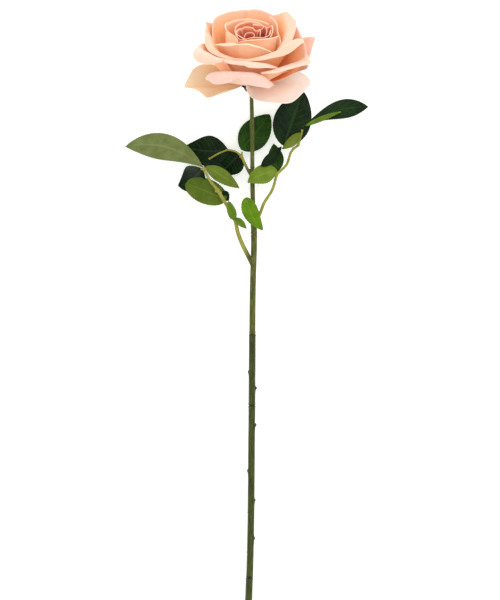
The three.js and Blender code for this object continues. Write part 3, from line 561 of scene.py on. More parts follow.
PETALS = {
    "heart_petal_1": dict(
        layer=0.5, foot=7, lip=1.5, face=0, roll=30, start=20,
        crest=[
            (0.6, 45.4, -4.5), (2.4, 48.6, 0), (-0.6, 50.6, 2), (-4.6, 49.6, 1), (-6.2, 46.4, -3),
        ],
    ),
    "heart_petal_2": dict(
        layer=1.6, foot=7, lip=3.2, face=16, roll=90, start=20,
        crest=[(-8.2, 53, 5), (-12, 50.6, 1), (-9.8, 47.6, -4), (-4.8, 45, -7)],
    ),
    "heart_petal_3": dict(
        layer=2.6, foot=9, lip=2, face=6, roll=40, start=24,
        crest=[(12.2, 48, -4), (13, 52.6, 2), (11, 56, 5), (8.6, 53.4, 3.6), (5, 50.6, 0)],
    ),
    "bud_petal_1": dict(
        layer=3.5, foot=10, lip=1.5, face=0, roll=30,
        crest=[
            (7.4, 47.6, -4), (7.2, 53.4, 2), (3.9, 52, 4.5), (0.4, 55.2, 7), (-5.2, 55.6, 8),
            (-9.6, 53, 4),
        ],
    ),
    "bud_petal_2": dict(
        layer=4.4, foot=13, lip=1.5, face=20, roll=70,
        crest=[
            (-8, 44, -8), (-2.4, 46, -10.5), (4.6, 46.8, -11), (10.9, 46.8, -9), (15.2, 49, -4),
            (16.2, 53, 2),
        ],
    ),
    "bud_petal_3": dict(
        layer=5.3, foot=13, lip=2, face=12, roll=50,
        crest=[
            (-8.8, 54.2, 7), (-12.4, 51.4, 1), (-12.6, 47.4, -6), (-9.4, 44.4, -10.5),
            (-3.8, 44.6, -12.5),
        ],
    ),
    "bud_petal_4": dict(
        layer=6.2, foot=14, lip=2, face=4, roll=50,
        crest=[
            (15.6, 46, -9.5), (18, 51, -2), (17.2, 56.4, 6), (13.8, 54.6, 9), (9.1, 56.4, 12),
            (1, 57.8, 14.5),
        ],
    ),
    "bud_petal_5": dict(
        layer=7.1, foot=15, lip=2, face=4, roll=50,
        crest=[
            (13.4, 51.3, 3), (11.2, 55.4, 10), (4.6, 59, 14.5), (-3, 60, 15.5), (-9, 58.3, 12.5),
            (-13.4, 55, 6), (-13.8, 50, -2),
        ],
    ),
    "inner_petal_1": dict(
        layer=8.2, foot=14, face=52, roll=[(-1, 90), (-0.3, 120), (-0.1, 60), (0.1, 80), (1, 80)],
        lip=[(-1, 2), (-0.8, 3), (-0.35, 5.5), (-0.05, 1.2), (0.1, 2.2), (0.5, 2.6), (1, 1.5)],
        neck=0.2,
        crest=[
            (-31.5, 40.6, -11), (-24, 41.4, -19), (-15.6, 41.8, -22.5), (-12.4, 40.4, -23.5),
            (-5.2, 41, -25), (5.5, 38.6, -25.5), (18, 33.4, -23),
        ],
    ),
    "inner_petal_2": dict(
        layer=8.2, foot=14, face=30, roll=90, lip=[(-1, 1), (0, 2.2), (0.6, 1.6), (1, 1)],
        neck=0.25,
        crest=[
            (-13, 40, -13), (-9.7, 42.6, -15), (-1.7, 44.2, -16.6), (9.1, 44.8, -17),
            (18.6, 46, -14), (23.4, 47.6, -7), (25.4, 45, 1),
        ],
    ),
    "inner_petal_3": dict(
        layer=8.2, foot=12, face=6, roll=30, lip=1.4,
        crest=[
            (25.6, 41.4, -12), (24.2, 46.4, -6), (22.6, 51.3, 0), (22.2, 57.6, 7), (20, 61.7, 12),
            (15.6, 65.2, 17),
        ],
    ),
    "inner_petal_4": dict(
        layer=8.2, foot=14, face=2, roll=50, lip=2,
        crest=[
            (16, 57.5, 17), (8, 60.8, 21.5), (-0.8, 62.2, 23), (-8.8, 62, 22), (-16, 60.4, 19),
            (-20.6, 57.6, 14), (-22, 52.4, 8),
        ],
    ),
    "inner_petal_5": dict(
        layer=8.2, foot=12, face=6, roll=40, lip=1.6,
        crest=[
            (-21, 59.4, 9), (-22.6, 57.2, 3), (-21.6, 52.6, -5), (-17.8, 49.2, -10),
            (-13.3, 46.2, -13), (-11.5, 42, -16),
        ],
    ),
    "cup_petal_1": dict(
        layer=9.3, foot=15, face=56, roll=95,
        lip=[(-1, 2.6), (-0.5, 6.5), (0.2, 11.1), (0.7, 9.1), (1, 3.9)], neck=0.2,
        crest=[
            (-6.5, 27, -31), (9.1, 30.2, -31), (18.1, 33.2, -28), (25.3, 37, -25),
            (32.5, 42.4, -19), (38.4, 45, -12), (42, 45.6, -6),
        ],
    ),
    "cup_petal_2": dict(
        layer=9.3, foot=15, face=[(-1, 50), (0, 34), (0.7, 20), (1, 10)],
        roll=[(-1, 100), (0, 80), (0.6, 60), (1, 30)],
        lip=[(-1, 2), (-0.6, 8), (0, 10), (0.35, 6), (0.6, 2), (1, 1.5)], neck=0.25,
        crest=[
            (22.4, 34.7, -24), (28.6, 45, -10), (31, 54.9, 3), (29.8, 62.1, 12), (27, 67.4, 18),
            (22, 66.6, 22), (16.5, 65.6, 25),
        ],
    ),
    "cup_petal_3": dict(
        layer=9.3, foot=14, face=10, roll=40, lip=2,
        crest=[
            (22.4, 62.8, 24), (18.4, 66, 27.5), (14, 68, 29), (8, 70.2, 30.5), (0, 70.6, 31),
            (-3.6, 69.8, 31.4),
        ],
    ),
    "cup_petal_4": dict(
        layer=9.3, foot=16, face=12, roll=[(-1, 30), (0.5, 40), (1, 20)],
        lip=[(-1, 2), (0, 2), (0.6, 1.2), (1, 1)],
        crest=[
            (5, 68.6, 36), (-3, 70.6, 36), (-15.4, 69.6, 33), (-25, 66.8, 28), (-32.4, 62.8, 20),
            (-34, 51.3, 8), (-32.8, 42, -5),
        ],
    ),
    "cup_petal_5": dict(
        layer=9.3, foot=15, face=50, roll=95,
        lip=[(-1, 3), (-0.7, 6), (-0.2, 7.5), (0.3, 5), (0.8, 2), (1, 1)], neck=0.2,
        crest=[
            (-38, 51, -2), (-36.2, 46, -8), (-34, 39.8, -15), (-28.6, 34.4, -21),
            (-21.4, 30.4, -26), (-13.3, 28.2, -29), (-3, 27.2, -31.5),
        ],
    ),
    "outer_petal_1": dict(
        layer=10.4, foot=12, face=56, roll=90, neck=0.22,
        lip=[
            (-1, 2.6), (-0.6, 5.2), (-0.16, 6.5), (-0.06, 8.5), (0, 6.5), (0.06, 9.8), (0.3, 9.1),
            (0.7, 6.5), (1, 2.6),
        ],
        crest=[
            (-33, 30, -24), (-25, 28, -30.5), (-16, 26.4, -34), (-5.2, 25.9, -36),
            (3.7, 24.8, -36.5), (12.7, 23.4, -35.5), (22.4, 20.6, -31),
        ],
    ),
    "outer_petal_2": dict(
        layer=10.4, foot=12, face=56, roll=80, neck=0.22,
        lip=[(-1, 2.5), (-0.6, 6.2), (0, 8.1), (0.4, 10.6), (0.7, 5), (1, 3.8)],
        crest=[
            (8.2, 15.9, -41), (18.1, 17.6, -39), (27.1, 21, -35), (36.1, 24.2, -28),
            (43.2, 26.8, -20), (46, 31, -12), (45.4, 36.4, -4),
        ],
    ),
    "outer_petal_3": dict(
        layer=10.4, foot=12, face=30, roll=50, lip=[(-1, 3), (0, 3), (0.6, 2), (1, 2)],
        crest=[
            (44.6, 23, -21), (45.8, 29, -16), (46, 36, -11), (43.6, 43, -5), (41.6, 48.4, 0),
            (39, 54.8, 6), (33.6, 60.6, 14),
        ],
    ),
    "outer_petal_4": dict(
        layer=10.4, foot=12, face=26, roll=50, lip=3,
        crest=[(35, 53, 24), (26, 59, 32), (14, 62.6, 37), (2, 63, 38), (-8, 60, 36)],
    ),
    "outer_petal_5": dict(
        layer=10.4, foot=12, face=30, roll=30, lip=[(-1, 2), (-0.2, 1), (0, 1), (1, 3)],
        crest=[
            (-22, 63, 30), (-29.5, 61.8, 26), (-34, 59.6, 21.5), (-40, 61, 18), (-39, 56.4, 10),
            (-39.6, 50.4, 1), (-36.6, 43, -6),
        ],
    ),
    "outer_petal_6": dict(
        layer=10.4, foot=12, face=46, roll=135, neck=0.25,
        lip=[(-1, 2), (-0.5, 6), (-0.1, 13), (0.3, 17), (0.6, 15), (0.85, 8), (1, 3)],
        crest=[
            (-37.6, 41.4, -4), (-42.6, 40.8, -9), (-44, 38, -17), (-42.4, 35.4, -23),
            (-37.6, 32.8, -29), (-32, 30, -34), (-24, 26.6, -37),
        ],
    ),
    "skirt_petal_1": dict(
        layer=11.5, foot=11, face=62, roll=80, neck=0.22,
        lip=[
            (-1, 4), (-0.7, 13), (-0.4, 21), (-0.15, 17), (-0.07, 8), (-0.03, 8), (0.08, 17),
            (0.3, 20), (0.6, 18), (1, 3),
        ],
        crest=[
            (-37, 13.4, -34), (-32.5, 16.2, -38), (-21.4, 16.6, -42), (-8.8, 16.2, -43.5),
            (2.8, 15.2, -43), (10.9, 12, -41), (19, 6, -37),
        ],
    ),
    "skirt_petal_2": dict(
        layer=11.5, foot=11, face=60, roll=10, lip=2,
        crest=[
            (42, 17.6, -24), (47, 19, -20), (49, 27.1, -14), (51.8, 37.9, -8), (54, 46.6, 0),
            (44.6, 46.6, 4), (41, 44, 5),
        ],
    ),
    "skirt_petal_3": dict(
        layer=11.5, foot=10, face=50, roll=50, lip=3,
        crest=[(38, 36, 22), (28, 45, 33), (14, 50.6, 41), (2, 51, 43), (-6, 48, 41)],
    ),
    "skirt_petal_4": dict(
        layer=11.5, foot=10, face=50, roll=50, lip=3,
        crest=[(-6, 49, 42), (-18, 50, 40), (-30, 47.6, 32), (-38, 42, 22), (-40, 35, 12)],
    ),
    "fallen_petal_1": dict(
        layer=12.6, foot=12, face=84, roll=20, lip=1.5,
        crest=[
            (-36, 24, -4), (-44, 23.4, -9), (-50.4, 19, -14), (-54.4, 11.8, -18), (-58, 4, -22),
            (-50, 2.6, -26), (-43.6, -0.8, -30), (-38, -5.8, -33.5), (-29.5, -2.6, -32),
            (-25, -0.4, -29),
        ],
    ),
    "fallen_petal_2": dict(
        layer=12.6, foot=15, face=84, roll=24, lip=2,
        crest=[
            (-4.6, 5.6, -30), (-3, -1, -33), (1.6, -6, -36), (12.7, -9, -42), (26.2, -10, -43),
            (34.6, -9, -40), (43.4, -1, -34), (50.6, 7.6, -26), (47.6, 13.4, -21), (40, 17.2, -16),
            (31, 18, -12),
        ],
    ),
}
# Petals that aren't finished like the rest of their kind, and the kinds that aren't slot petal_peach.
PETAL_LOOKS = {"fallen_petal_1": "beige", "fallen_petal_2": "pale"}
PETAL_SLOTS = {"heart": "petal_heart", "bud": "petal_heart", "skirt": "petal_pale", "fallen": "petal_pale"}

for number, (node, shape) in enumerate(PETALS.items()):
    kind = node.split("_")[0]
    surface, edge = petal_surface(number + 1, **shape)
    look = PETAL_FINISHES[PETAL_LOOKS.get(node, kind)]
    bm = bmesh.new()
    add_sheet(bm, surface, 26, 28, PETAL_THICKNESS, {"up": lambda u, v: v, "rim": edge})
    finish_piece("latex_" + node, bm, look, PETAL_SLOTS.get(kind, "petal_peach"), node, levels=1)


# ---- Calyx ---------------------------------------------------------------------------------------
SEPAL_DIRECTIONS = (199, 308, 20, 84, 148)
SEPAL_LENGTH = 15  # past the cup's rim
SEPAL_THICKNESS = 0.8


def sepal_surface(towards):
    start = CALYX_RADIUS * 0.72

    def surface(u, v):
        out = start + v * (SEPAL_LENGTH + CALYX_RADIUS * 0.28)
        half = 5.5 * math.sqrt(max(0.004, 1 - v**1.6)) * (1 + 0.06 * math.sin(v * 34) * abs(u) ** 3)
        angle = math.radians(towards) + math.asin(clamp(half * u / out, -0.9, 0.9))
        drop = 2.2 * v**2 - 0.3 * u**2 * (1 - v) - 0.35 * (1 - bump(u, 0, 0.2)) * (1 - v)
        return TO_BLOOM @ Vector((math.cos(angle) * out, math.sin(angle) * out, CALYX_HEIGHT * 0.93 - drop))

    return surface


# The cup's outline, as radius and height about the bloom's axis.
CUP = [
    (1.4, 4.0), (1.4, 0.2), (1.7, -0.05), (2.2, 0.05), (3.4, 0.5), (5.0, 1.5), (6.3, 3.0), (7.0, 4.6),
    (7.6, 6.2), (8.6, 7.6), (10.6, 9.2), (12.2, 9.8), (12.5, 10.4), (12.2, 10.9), (11.0, 11.0),
]

bm = bmesh.new()
bm.loops.layers.uv.new("UVMap")
for key in SHEET_TRAITS:
    bm.verts.layers.float.new(key)
cup_edge = [bm.verts.new((r, 0, h)) for r, h in [(0.0, 4.0), *CUP, (0.0, 11.0)]]
cup_lines = [bm.edges.new(pair) for pair in zip(cup_edge, cup_edge[1:])]
bmesh.ops.spin(
    bm,
    geom=[*cup_edge, *cup_lines],
    cent=(0, 0, 0),
    axis=(0, 0, 1),
    angle=math.tau,
    steps=48,
    use_merge=True,
)
bmesh.ops.remove_doubles(bm, verts=bm.verts, dist=1e-4)
bmesh.ops.recalc_face_normals(bm, faces=bm.faces)
bmesh.ops.transform(bm, matrix=TO_BLOOM, verts=bm.verts)
for towards in SEPAL_DIRECTIONS:
    add_sheet(bm, sepal_surface(towards), 12, 24, SEPAL_THICKNESS, {"up": lambda u, v: v})
finish_piece("calyx_cup", bm, LEAF_FINISHES["deep"], "calyx_green", "calyx", levels=1)


# ---- Stem line -----------------------------------------------------------------------------------
SLEEVE_RADIUS = 3.0
BRANCH_RADIUS = 2.75
NECK_RADIUS = 1.75
NECK_REACH = 42.0  # the part of the stem line that bends up to the bloom
STEM_LIFT = 0.31  # room under the sleeves for their swellings
SEAM = 0.03  # gap at each end of a sleeve
# Points (side, share of the reach, 0) that the stem line passes through.
WANDER = smooth_path(
    [
        (-4, 0, 0), (-1.2, 0.15, 0), (0.7, 0.27, 0), (1.6, 0.45, 0), (2.3, 0.65, 0), (3.6, 0.75, 0),
        (2.2, 0.85, 0), (1.9, 0.93, 0), (1.3, 1, 0),
    ]
)
STRAIGHT = STEM_REACH - NECK_REACH
BLOOM_SLOPE = math.tan(math.pi / 2 - LEAN)
RISE = BLOOM_FOOT.z - STEM_LIFT - SLEEVE_RADIUS
SLOPE = (RISE - NECK_REACH * BLOOM_SLOPE / 2) / (STRAIGHT + NECK_REACH / 2)


def stem_side(y):
    """How far the stem line is to the side, y millimetres from the cut end."""
    low, high = 0.0, 1.0
    for _ in range(22):
        middle = (low + high) / 2
        if WANDER(middle).y < y / STEM_REACH:
            low = middle
        else:
            high = middle
    return WANDER(low).x


STEM_SIDES = [stem_side(y) for y in range(0, int(STEM_REACH) + 2)]


def stem_at(y):
    """A point on the stem line, y millimetres from the cut end."""
    y = clamp(y, 0, STEM_REACH + 0.9)
    whole = int(y)
    side = lerp(STEM_SIDES[whole], STEM_SIDES[min(whole + 1, len(STEM_SIDES) - 1)], y - whole)
    neck = max(0.0, y - STRAIGHT)
    curve = (BLOOM_SLOPE - SLOPE) * neck**2 / (2 * NECK_REACH)
    height = SLEEVE_RADIUS + SLOPE * y + curve + STEM_LIFT
    return CUT_END + Vector((side, y, height))


# Thorn buds: distance from the cut end, side (1 right, -1 left), height.
THORNS = [
    (134, 1, 1.1), (167.5, 1, 1.0), (193.5, -1, 0.9), (234, 1, 1.3), (266.5, 1, 1.6), (280.6, -1, 0.9),
]
# Half joints, which show on one side of the stem only, given in the same way.
SCARS = [(156, -1, 0.35), (120.5, -1, 0.3)]


def between(start, end):
    """The stem line from start to end, less a seam at both ends."""
    return lambda share: stem_at(start + SEAM + share * (end - start - 2 * SEAM))


def sleeve(name, node, start, end, radius, end_radius, material, seed):
    span = end - start

    def thickness(share, angle):
        y = start + share * span
        size = lerp(radius, end_radius, share)
        near = min(y - start, end - y)
        size += 0.3 * bump(near, 0.9, 0.7) - 0.35 * bump(near, 0, 0.35)
        size += 0.1 * ripple(seed, math.cos(angle) * 1.3, math.sin(angle) * 1.3, y * 0.035)
        size += 0.05 * ripple(seed + 9, math.cos(angle) * 3, math.sin(angle) * 3, y * 0.12)
        for place, side, height in THORNS:
            if abs(y - place) < 6:
                towards = math.cos(angle) * side
                size += height * bump(y, place, 1.1) * smooth(towards, 0.55, 1) ** 2
                size += 0.3 * bump(y, place - 1.5, 2.4) * smooth(towards, 0.2, 1)
        for place, side, height in SCARS:
            if abs(y - place) < 3:
                step = bump(y, place, 0.5) - bump(y, place - 1.1, 0.5)
                size += height * step * smooth(math.cos(angle) * side, -0.2, 0.5)
        return size

    def mark(share):
        near = min(share, 1 - share) * span
        return bump(near, 0, 1.0)

    bm = bmesh.new()
    add_tube(bm, between(start, end), thickness, 40, int(span / SLEEVE_RING), mark)
    finish_piece(name, bm, material, "stem_olive", node)


SLEEVE_RING = 0.9  # spacing of a sleeve's rings of vertices
WIDE = SLEEVE_RADIUS + 0.1
# Piece, CAD node, where it starts and ends along the stem, its radius at both, and its finish.
SLEEVES = [
    ("moulded_sleeve_low", "stem_sleeve_low", 0, 99, WIDE, WIDE, STEM_FINISH),
    ("moulded_sleeve_middle", "stem_sleeve_middle", 99, 251, SLEEVE_RADIUS, SLEEVE_RADIUS, STEM_FINISH),
    ("moulded_sleeve_high", "stem_sleeve_high", 251, 314, SLEEVE_RADIUS, SLEEVE_RADIUS, STEM_FINISH),
    ("moulded_neck", "stem_neck", 460, STEM_REACH - 0.1, NECK_RADIUS + 0.1, NECK_RADIUS, NECK_FINISH),
]
for number, row in enumerate(SLEEVES):
    sleeve(*row, seed=number + 1)


# ---- Branches ------------------------------------------------------------------------------------
BRANCH_VOXEL = 0.4
# root: where the branch leaves the stem line, from the cut end.
# collar: where it starts and ends along the stem, and its radius.
# stalks: their points, measured from the branch's root, and their radii at both ends.
BRANCHES = {
    "left": {
        "root": 376,
        "collar": (314, 401.5, BRANCH_RADIUS),
        "stalks": [
            (
                [
                    (-1.1, 0, 1.2), (-4.8, 7, 4.2), (-9.8, 17, 6.7), (-13.7, 27, 8.2), (-16.3, 38, 9.7),
                    (-21.8, 48.5, 11.2),
                ],
                2.2,
                1.6,
            ),
            ([(-21.5, 48, 11.1), (-27.9, 58.6, 12.2), (-31.6, 65, 12.9)], 1.6, 1.7),
            ([(-31.3, 64.5, 12.9), (-38.8, 73.9, 13.9), (-43.9, 83.6, 15.2)], 1.4, 1.1),
            ([(-16.5, 38.5, 9.9), (-17.2, 41.6, 11.9)], 0.8, 0.7),
            ([(-16.1, 37.5, 9.7), (-14.3, 36.6, 11.7)], 0.8, 0.7),
            ([(-31.1, 64.2, 12.7), (-34.1, 63.6, 12.3)], 1.0, 0.8),
            ([(-30.7, 64, 12.7), (-27.9, 62.4, 11.7)], 0.8, 0.7),
            ([(-43.6, 83, 15.1), (-46.5, 83.4, 14.3)], 0.9, 0.8),
            ([(-43.6, 83.2, 15.1), (-41.5, 84, 14.9)], 0.9, 0.8),
        ],
    },
    "right": {
        "root": 412.5,
        "collar": (401.5, 418, BRANCH_RADIUS),
        "stalks": [
            (
                [(1.1, 0, 1.6), (5.3, 7, 3.1), (9.2, 17, 4.1), (16.5, 28.8, 4.8), (20.5, 42.7, 5.4)],
                1.6,
                1.3,
            ),
            ([(20.3, 42.3, 5.4), (28.9, 50.7, 5.8), (33.3, 62.4, 6.4), (39.7, 68.2, 7)], 1.3, 1.2),
            ([(39.4, 67.9, 7), (41.9, 76.9, 7.6), (42.8, 81.7, 8.2)], 1.1, 0.9),
            ([(33.1, 61.9, 6.4), (35.1, 65.9, 7.4)], 0.9, 0.7),
            ([(41.4, 74.9, 7.6), (40.1, 74.7, 5.2)], 0.8, 0.7),
            ([(39.9, 68.9, 7.1), (38.7, 70.7, 9.2)], 0.9, 0.7),
            ([(20.1, 41.3, 5.4), (19, 42.9, 6.2)], 0.9, 0.8),
            ([(20.3, 42, 5.4), (20.9, 44.5, 4.6)], 0.9, 0.8),
            ([(1.7, -0.5, 1.8), (5.5, -4.5, 4.1), (7.3, -6.9, 6)], 1.1, 0.8),
        ],
    },
    "upper": {
        "root": 452.5,
        "collar": (418, 460, NECK_RADIUS + 0.35),
        "stalks": [
            ([(-0.5, 0, 1.4), (-4.5, 7, -0.6), (-9.5, 18.1, -3.4)], 1.5, 1.2),
            ([(-9.3, 17.7, -3.4), (-14.6, 22.3, -4), (-22.1, 24.1, -4.2)], 1.0, 0.9),
            ([(-21.8, 24.1, -4.2), (-30, 20.6, -3), (-38.6, 15.6, -3)], 0.8, 0.9),
            ([(-9.3, 17.7, -3.4), (-9.2, 22.1, -4.6)], 0.9, 0.7),
            ([(-9.3, 17.7, -3.4), (-11.3, 18.1, -3.6)], 0.9, 0.8),
        ],
    },
}


def add_collar(bm, start, end, radius):
    def swollen(share, angle):
        y = start + share * (end - start)
        near = min(y - start, end - y)
        waver = 0.07 * ripple(5, math.cos(angle), math.sin(angle), y * 0.05)
        return radius + 0.35 * bump(near, 1.0, 0.8) + waver

    add_tube(bm, between(start, end), swollen, 24, int((end - start) / 1.2))


def add_stalk(bm, root, points, size, end_size):
    length = sum((Vector(b) - Vector(a)).length for a, b in zip(points, points[1:]))

    def swollen(share, angle):
        swell = 0.35 * bump(share * length, length, 1.4) + 0.3 * bump(share * length, 0, 1.6)
        return lerp(size, end_size, share) + swell * min(1, size)

    path = smooth_path([root + Vector(p) for p in points])
    add_tube(bm, path, swollen, 16, max(4, int(length)))


for side, branch in BRANCHES.items():
    bm = bmesh.new()
    add_collar(bm, *branch["collar"])
    for stalk in branch["stalks"]:
        add_stalk(bm, stem_at(branch["root"]), *stalk)
    name = "branch_" + side
    finish_piece("moulded_" + name, bm, BRANCH_FINISH, "branch_green", name, remesh=BRANCH_VOXEL)


# ---- Leaflets ------------------------------------------------------------------------------------
LEAF_THICKNESS = 0.45
TOOTH_DEPTH = 0.55
TOOTH_PITCH = 2.3
LEAF_ROWS = 2.2  # rows of faces for each millimetre of midrib


def leaf_surface(
    root, base, tip, width, seed, arch=0, bow=0, roll=0, fold=0, widest=0.43, full=0.82
):
    """A leaflet over its midrib, edged with fine teeth that lean towards the tip. arch and bow curve
    the midrib upwards and sideways. roll turns the blade about the midrib (180 shows its underside),
    and fold closes it like a book. widest is how far along the blade is widest, and a low full makes
    its ends blunt."""
    start, end = root + Vector(base), root + Vector(tip)
    way = end - start
    sideways = Vector((way.y, -way.x, 0)).normalized()
    middle = (start + end) / 2 + sideways * (bow * 2) + Vector((0, 0, arch * 2))
    length = way.length
    power = math.log(0.5) / math.log(widest)
    count = length / TOOTH_PITCH

    def surface(u, v):
        side_share = math.copysign(abs(u) ** 0.8, u)
        point = start * (1 - v) ** 2 + middle * (2 * v * (1 - v)) + end * v**2
        ahead = ((middle - start) * (1 - v) + (end - middle) * v).normalized()
        side = ahead.cross(Vector((0, 0, 1))).normalized()
        over = side.cross(ahead)
        turn = math.radians(roll)
        out_way = side * math.cos(turn) + over * math.sin(turn)
        up_way = over * math.cos(turn) - side * math.sin(turn)
        half = max(0.45, width / 2 * max(0.0, math.sin(math.pi * v**power)) ** full)
        tooth = (v * count) % 1.0
        edge = TOOTH_DEPTH * (tooth**1.5 - 0.4) * smooth(abs(side_share), 0.82, 1)
        edge *= smooth(v, 0.03, 0.12) * smooth(1 - v, 0.0, 0.05)
        slant = math.radians(fold)
        spread = side_share * half
        out = spread * math.cos(slant) + math.copysign(edge, u)
        rise = abs(spread) * math.sin(slant)
        phase = (v - abs(side_share) * VEIN_SLANT) * VEINS
        quilt = abs(math.sin(math.pi * (phase - 0.5))) ** 0.7 - 0.6
        quilt *= smooth(abs(side_share), 0.0, 0.3) * smooth(1 - abs(side_share), 0, 0.3)
        rise += 0.4 * quilt * (half / (width / 2))
        rise -= 0.35 * bump(side_share, 0, 0.09)
        rise += 0.8 * ripple(seed, v * 3.0, u * 0.8) * abs(side_share) ** 2
        return point + out_way * out + up_way * rise

    return surface


LEAFLETS = {
    "leaflet_left_1": dict(
        base=(-44.2, 84.6, 15.4), tip=(-112.8, 103.4, -2.3), width=24, bow=8.5, arch=3, roll=165,
        widest=0.56, look="sage",
    ),
    "leaflet_left_2": dict(
        base=(-46, 84, 12.7), tip=(-66.6, 69, -12.6), width=24, bow=-3, arch=-6, roll=-10,
        look="dark",
    ),
    "leaflet_left_3": dict(
        base=(-42, 85.6, 14.9), tip=(-12.6, 66.6, 12.7), width=13, bow=-0.5, roll=160, look="moss",
    ),
    "leaflet_left_4": dict(
        base=(-24.2, 56.6, 9.6), tip=(-59.4, 71, 2.7), width=22, arch=2, roll=176, fold=4,
        widest=0.5, full=0.42, look="olive",
    ),
    "leaflet_left_5": dict(
        base=(-28.7, 63.4, 10.4), tip=(-21.9, 55.6, 8.2), width=9, roll=0, look="dark",
    ),
    "leaflet_left_6": dict(
        base=(-17, 38.6, 12.6), tip=(-22, 54.8, 16.7), width=8, fold=20, full=0.6, look="lime",
    ),
    "leaflet_left_7": dict(
        base=(-15.4, 40.2, 12), tip=(-6.3, 31, 13.8), width=6, fold=20, look="lime",
    ),
    "leaflet_right_1": dict(
        base=(43.2, 83.6, 8.4), tip=(100.9, 102.2, -12.4), width=17, bow=-5, arch=3, roll=14,
        widest=0.66, look="deep",
    ),
    "leaflet_right_2": dict(
        base=(26.4, 67.4, 6), tip=(43.4, 115.6, -1.4), width=33, arch=3, fold=6, full=0.7,
        look="dark",
    ),
    "leaflet_right_3": dict(
        base=(40.8, 78.6, 9.2), tip=(25, 64.6, 10.4), width=8.5, bow=-1, roll=165, look="moss",
    ),
    "leaflet_right_4": dict(
        base=(21, 45.1, 4.4), tip=(17.6, 69.3, -2.4), width=14, fold=10, look="mid",
    ),
    "leaflet_right_5": dict(
        base=(20.6, 45.4, 6.6), tip=(-5.1, 34.9, 9.6), width=17, bow=2, roll=168, fold=8,
        look="lime",
    ),
    "leaflet_right_6": dict(
        base=(8.2, -6.6, 6.6), tip=(-6.6, 21.8, 8.6), width=14, bow=-2.5, arch=1, fold=10,
        widest=0.62, full=0.5, look="bright",
    ),
    "leaflet_upper_1": dict(
        base=(-10.2, 24.6, -4.8), tip=(14.8, 55.4, -11.6), width=26, bow=1, arch=-1, full=0.7,
        look="mid",
    ),
    "leaflet_upper_2": dict(
        base=(-21.6, 24, -4.6), tip=(-59.4, 27, -9.6), width=27, bow=-2.5, arch=2, look="dark",
    ),
    "leaflet_upper_3": dict(
        base=(-11.4, 20, -4.4), tip=(-27.4, 4, -8.6), width=23, full=0.6, look="dark",
    ),
}
# Second faces of leaflets that are folded or turned over at an edge.
FOLDED_FACES = {
    "fabric_standing_half": dict(
        side="right", base=(6.6, 49.6, 7), tip=(24.4, 66.6, 3.4), width=9, bow=1, roll=10,
        look="dark",
    ),
    "fabric_turned_edge": dict(
        side="right", base=(46, 85, 9.4), tip=(77, 97.4, 3.4), width=4.2, bow=-0.6, look="lime",
    ),
    "fabric_back_half": dict(
        side="left", base=(-44.4, 91, 12.6), tip=(-15, 70, 10.6), width=13, bow=0.5, look="dark",
    ),
}


def leaflet(name, side, seed, look, nodes, **shape):
    bm = bmesh.new()
    surface = leaf_surface(stem_at(BRANCHES[side]["root"]), seed=seed, **shape)
    rows = int((Vector(shape["tip"]) - Vector(shape["base"])).length * LEAF_ROWS)
    add_sheet(bm, surface, 20, rows, LEAF_THICKNESS, {"up": lambda u, v: v})
    slot = "leaf_dark" if look in ("dark", "deep", "mid") else "leaf_pale"
    finish_piece(name, bm, LEAF_FINISHES[look], slot, *nodes)


for number, (node, shape) in enumerate(LEAFLETS.items()):
    leaflet("fabric_" + node, node.split("_")[1], number + 40, nodes=[node], **shape)
for number, (name, shape) in enumerate(FOLDED_FACES.items()):
    leaflet(name, seed=number + 60, nodes=[], **shape)


# ---- Hidden pieces keep their CAD solids ---------------------------------------------------------
def plain_finish(name, colour, fleck, share, roughness, metallic, scale):
    f = Finish(name, metallic=metallic)
    grain = f.noise(f.place(), scale, 3.0, 0.6)
    return f.drive(
        base_color=f.mix(grain * share, paint(colour), paint(fleck)),
        roughness=roughness + (grain - 0.5) * 0.2,
        normal=f.relief(grain, 0.1, 0.5),
    )


def dress(node, material):
    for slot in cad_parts[node].material_slots:
        slot.material = material


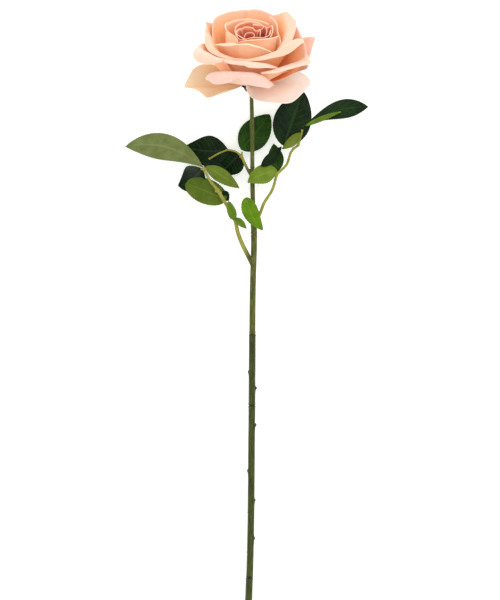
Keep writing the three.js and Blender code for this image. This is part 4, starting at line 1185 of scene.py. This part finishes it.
dress("stem_wire", plain_finish("drawn_steel", "#77797c", "#ffffff", 1.0, 0.35, 0.9, 4.0))
dress("bloom_core", plain_finish("core_foam", "#e9b08c", "#f7d9c4", 0.4, 0.85, 0.0, 1.6))


# ---- Surface, light and camera, in metres --------------------------------------------------------
FLOOR_RADIUS = 30
FLOOR_DROP = 0.0002  # below the part's underside, so the two don't share a plane
bm = bmesh.new()
bmesh.ops.create_circle(bm, cap_ends=True, segments=96, radius=FLOOR_RADIUS)
bmesh.ops.translate(bm, vec=(0, 0, -FLOOR_DROP), verts=bm.verts)
floor_mesh = bpy.data.meshes.new("pale_surface")
bm.to_mesh(floor_mesh)
bm.free()
floor = bpy.data.objects.new("pale_surface", floor_mesh)
bpy.context.scene.collection.objects.link(floor)
f = Finish(
    "pale_surface",
    roughness=0.9,
    emission_color=(1, 1, 1, 1),
    emission_strength=0.42,
    specular_ior_level=0.1,
)
floor_mesh.materials.append(f.drive(base_color=paint("#f8f8f8")))

world = bpy.data.worlds.new("studio")
bpy.context.scene.world = world
world.use_nodes = True
world.node_tree.nodes["Background"].inputs["Color"].default_value = (1, 1, 1, 1)
world.node_tree.nodes["Background"].inputs["Strength"].default_value = 0.97

key = bpy.data.objects.new("soft_key", bpy.data.lights.new("soft_key", "SUN"))
key.data.energy = 0.62
key.data.angle = math.radians(38)
key.rotation_euler = (math.radians(-28), math.radians(16), 0)
bpy.context.scene.collection.objects.link(key)

FIELD = 528 * MM  # height of the view at the middle of the part
PART_MIDDLE = 0.03  # height of the middle of the part
AIM = (CUT_END + Vector((0, 344, 0))) * MM
DISTANCE = 8.0
SENSOR = 36
camera = bpy.data.objects.new("camera", bpy.data.cameras.new("camera"))
camera.data.sensor_width = SENSOR
camera.data.lens = SENSOR * (DISTANCE - PART_MIDDLE) / FIELD
camera.data.clip_end = 100
camera.location = (AIM.x, AIM.y, DISTANCE)
bpy.context.scene.collection.objects.link(camera)
bpy.context.scene.camera = camera
bpy.context.scene.view_settings.view_transform = "Standard"
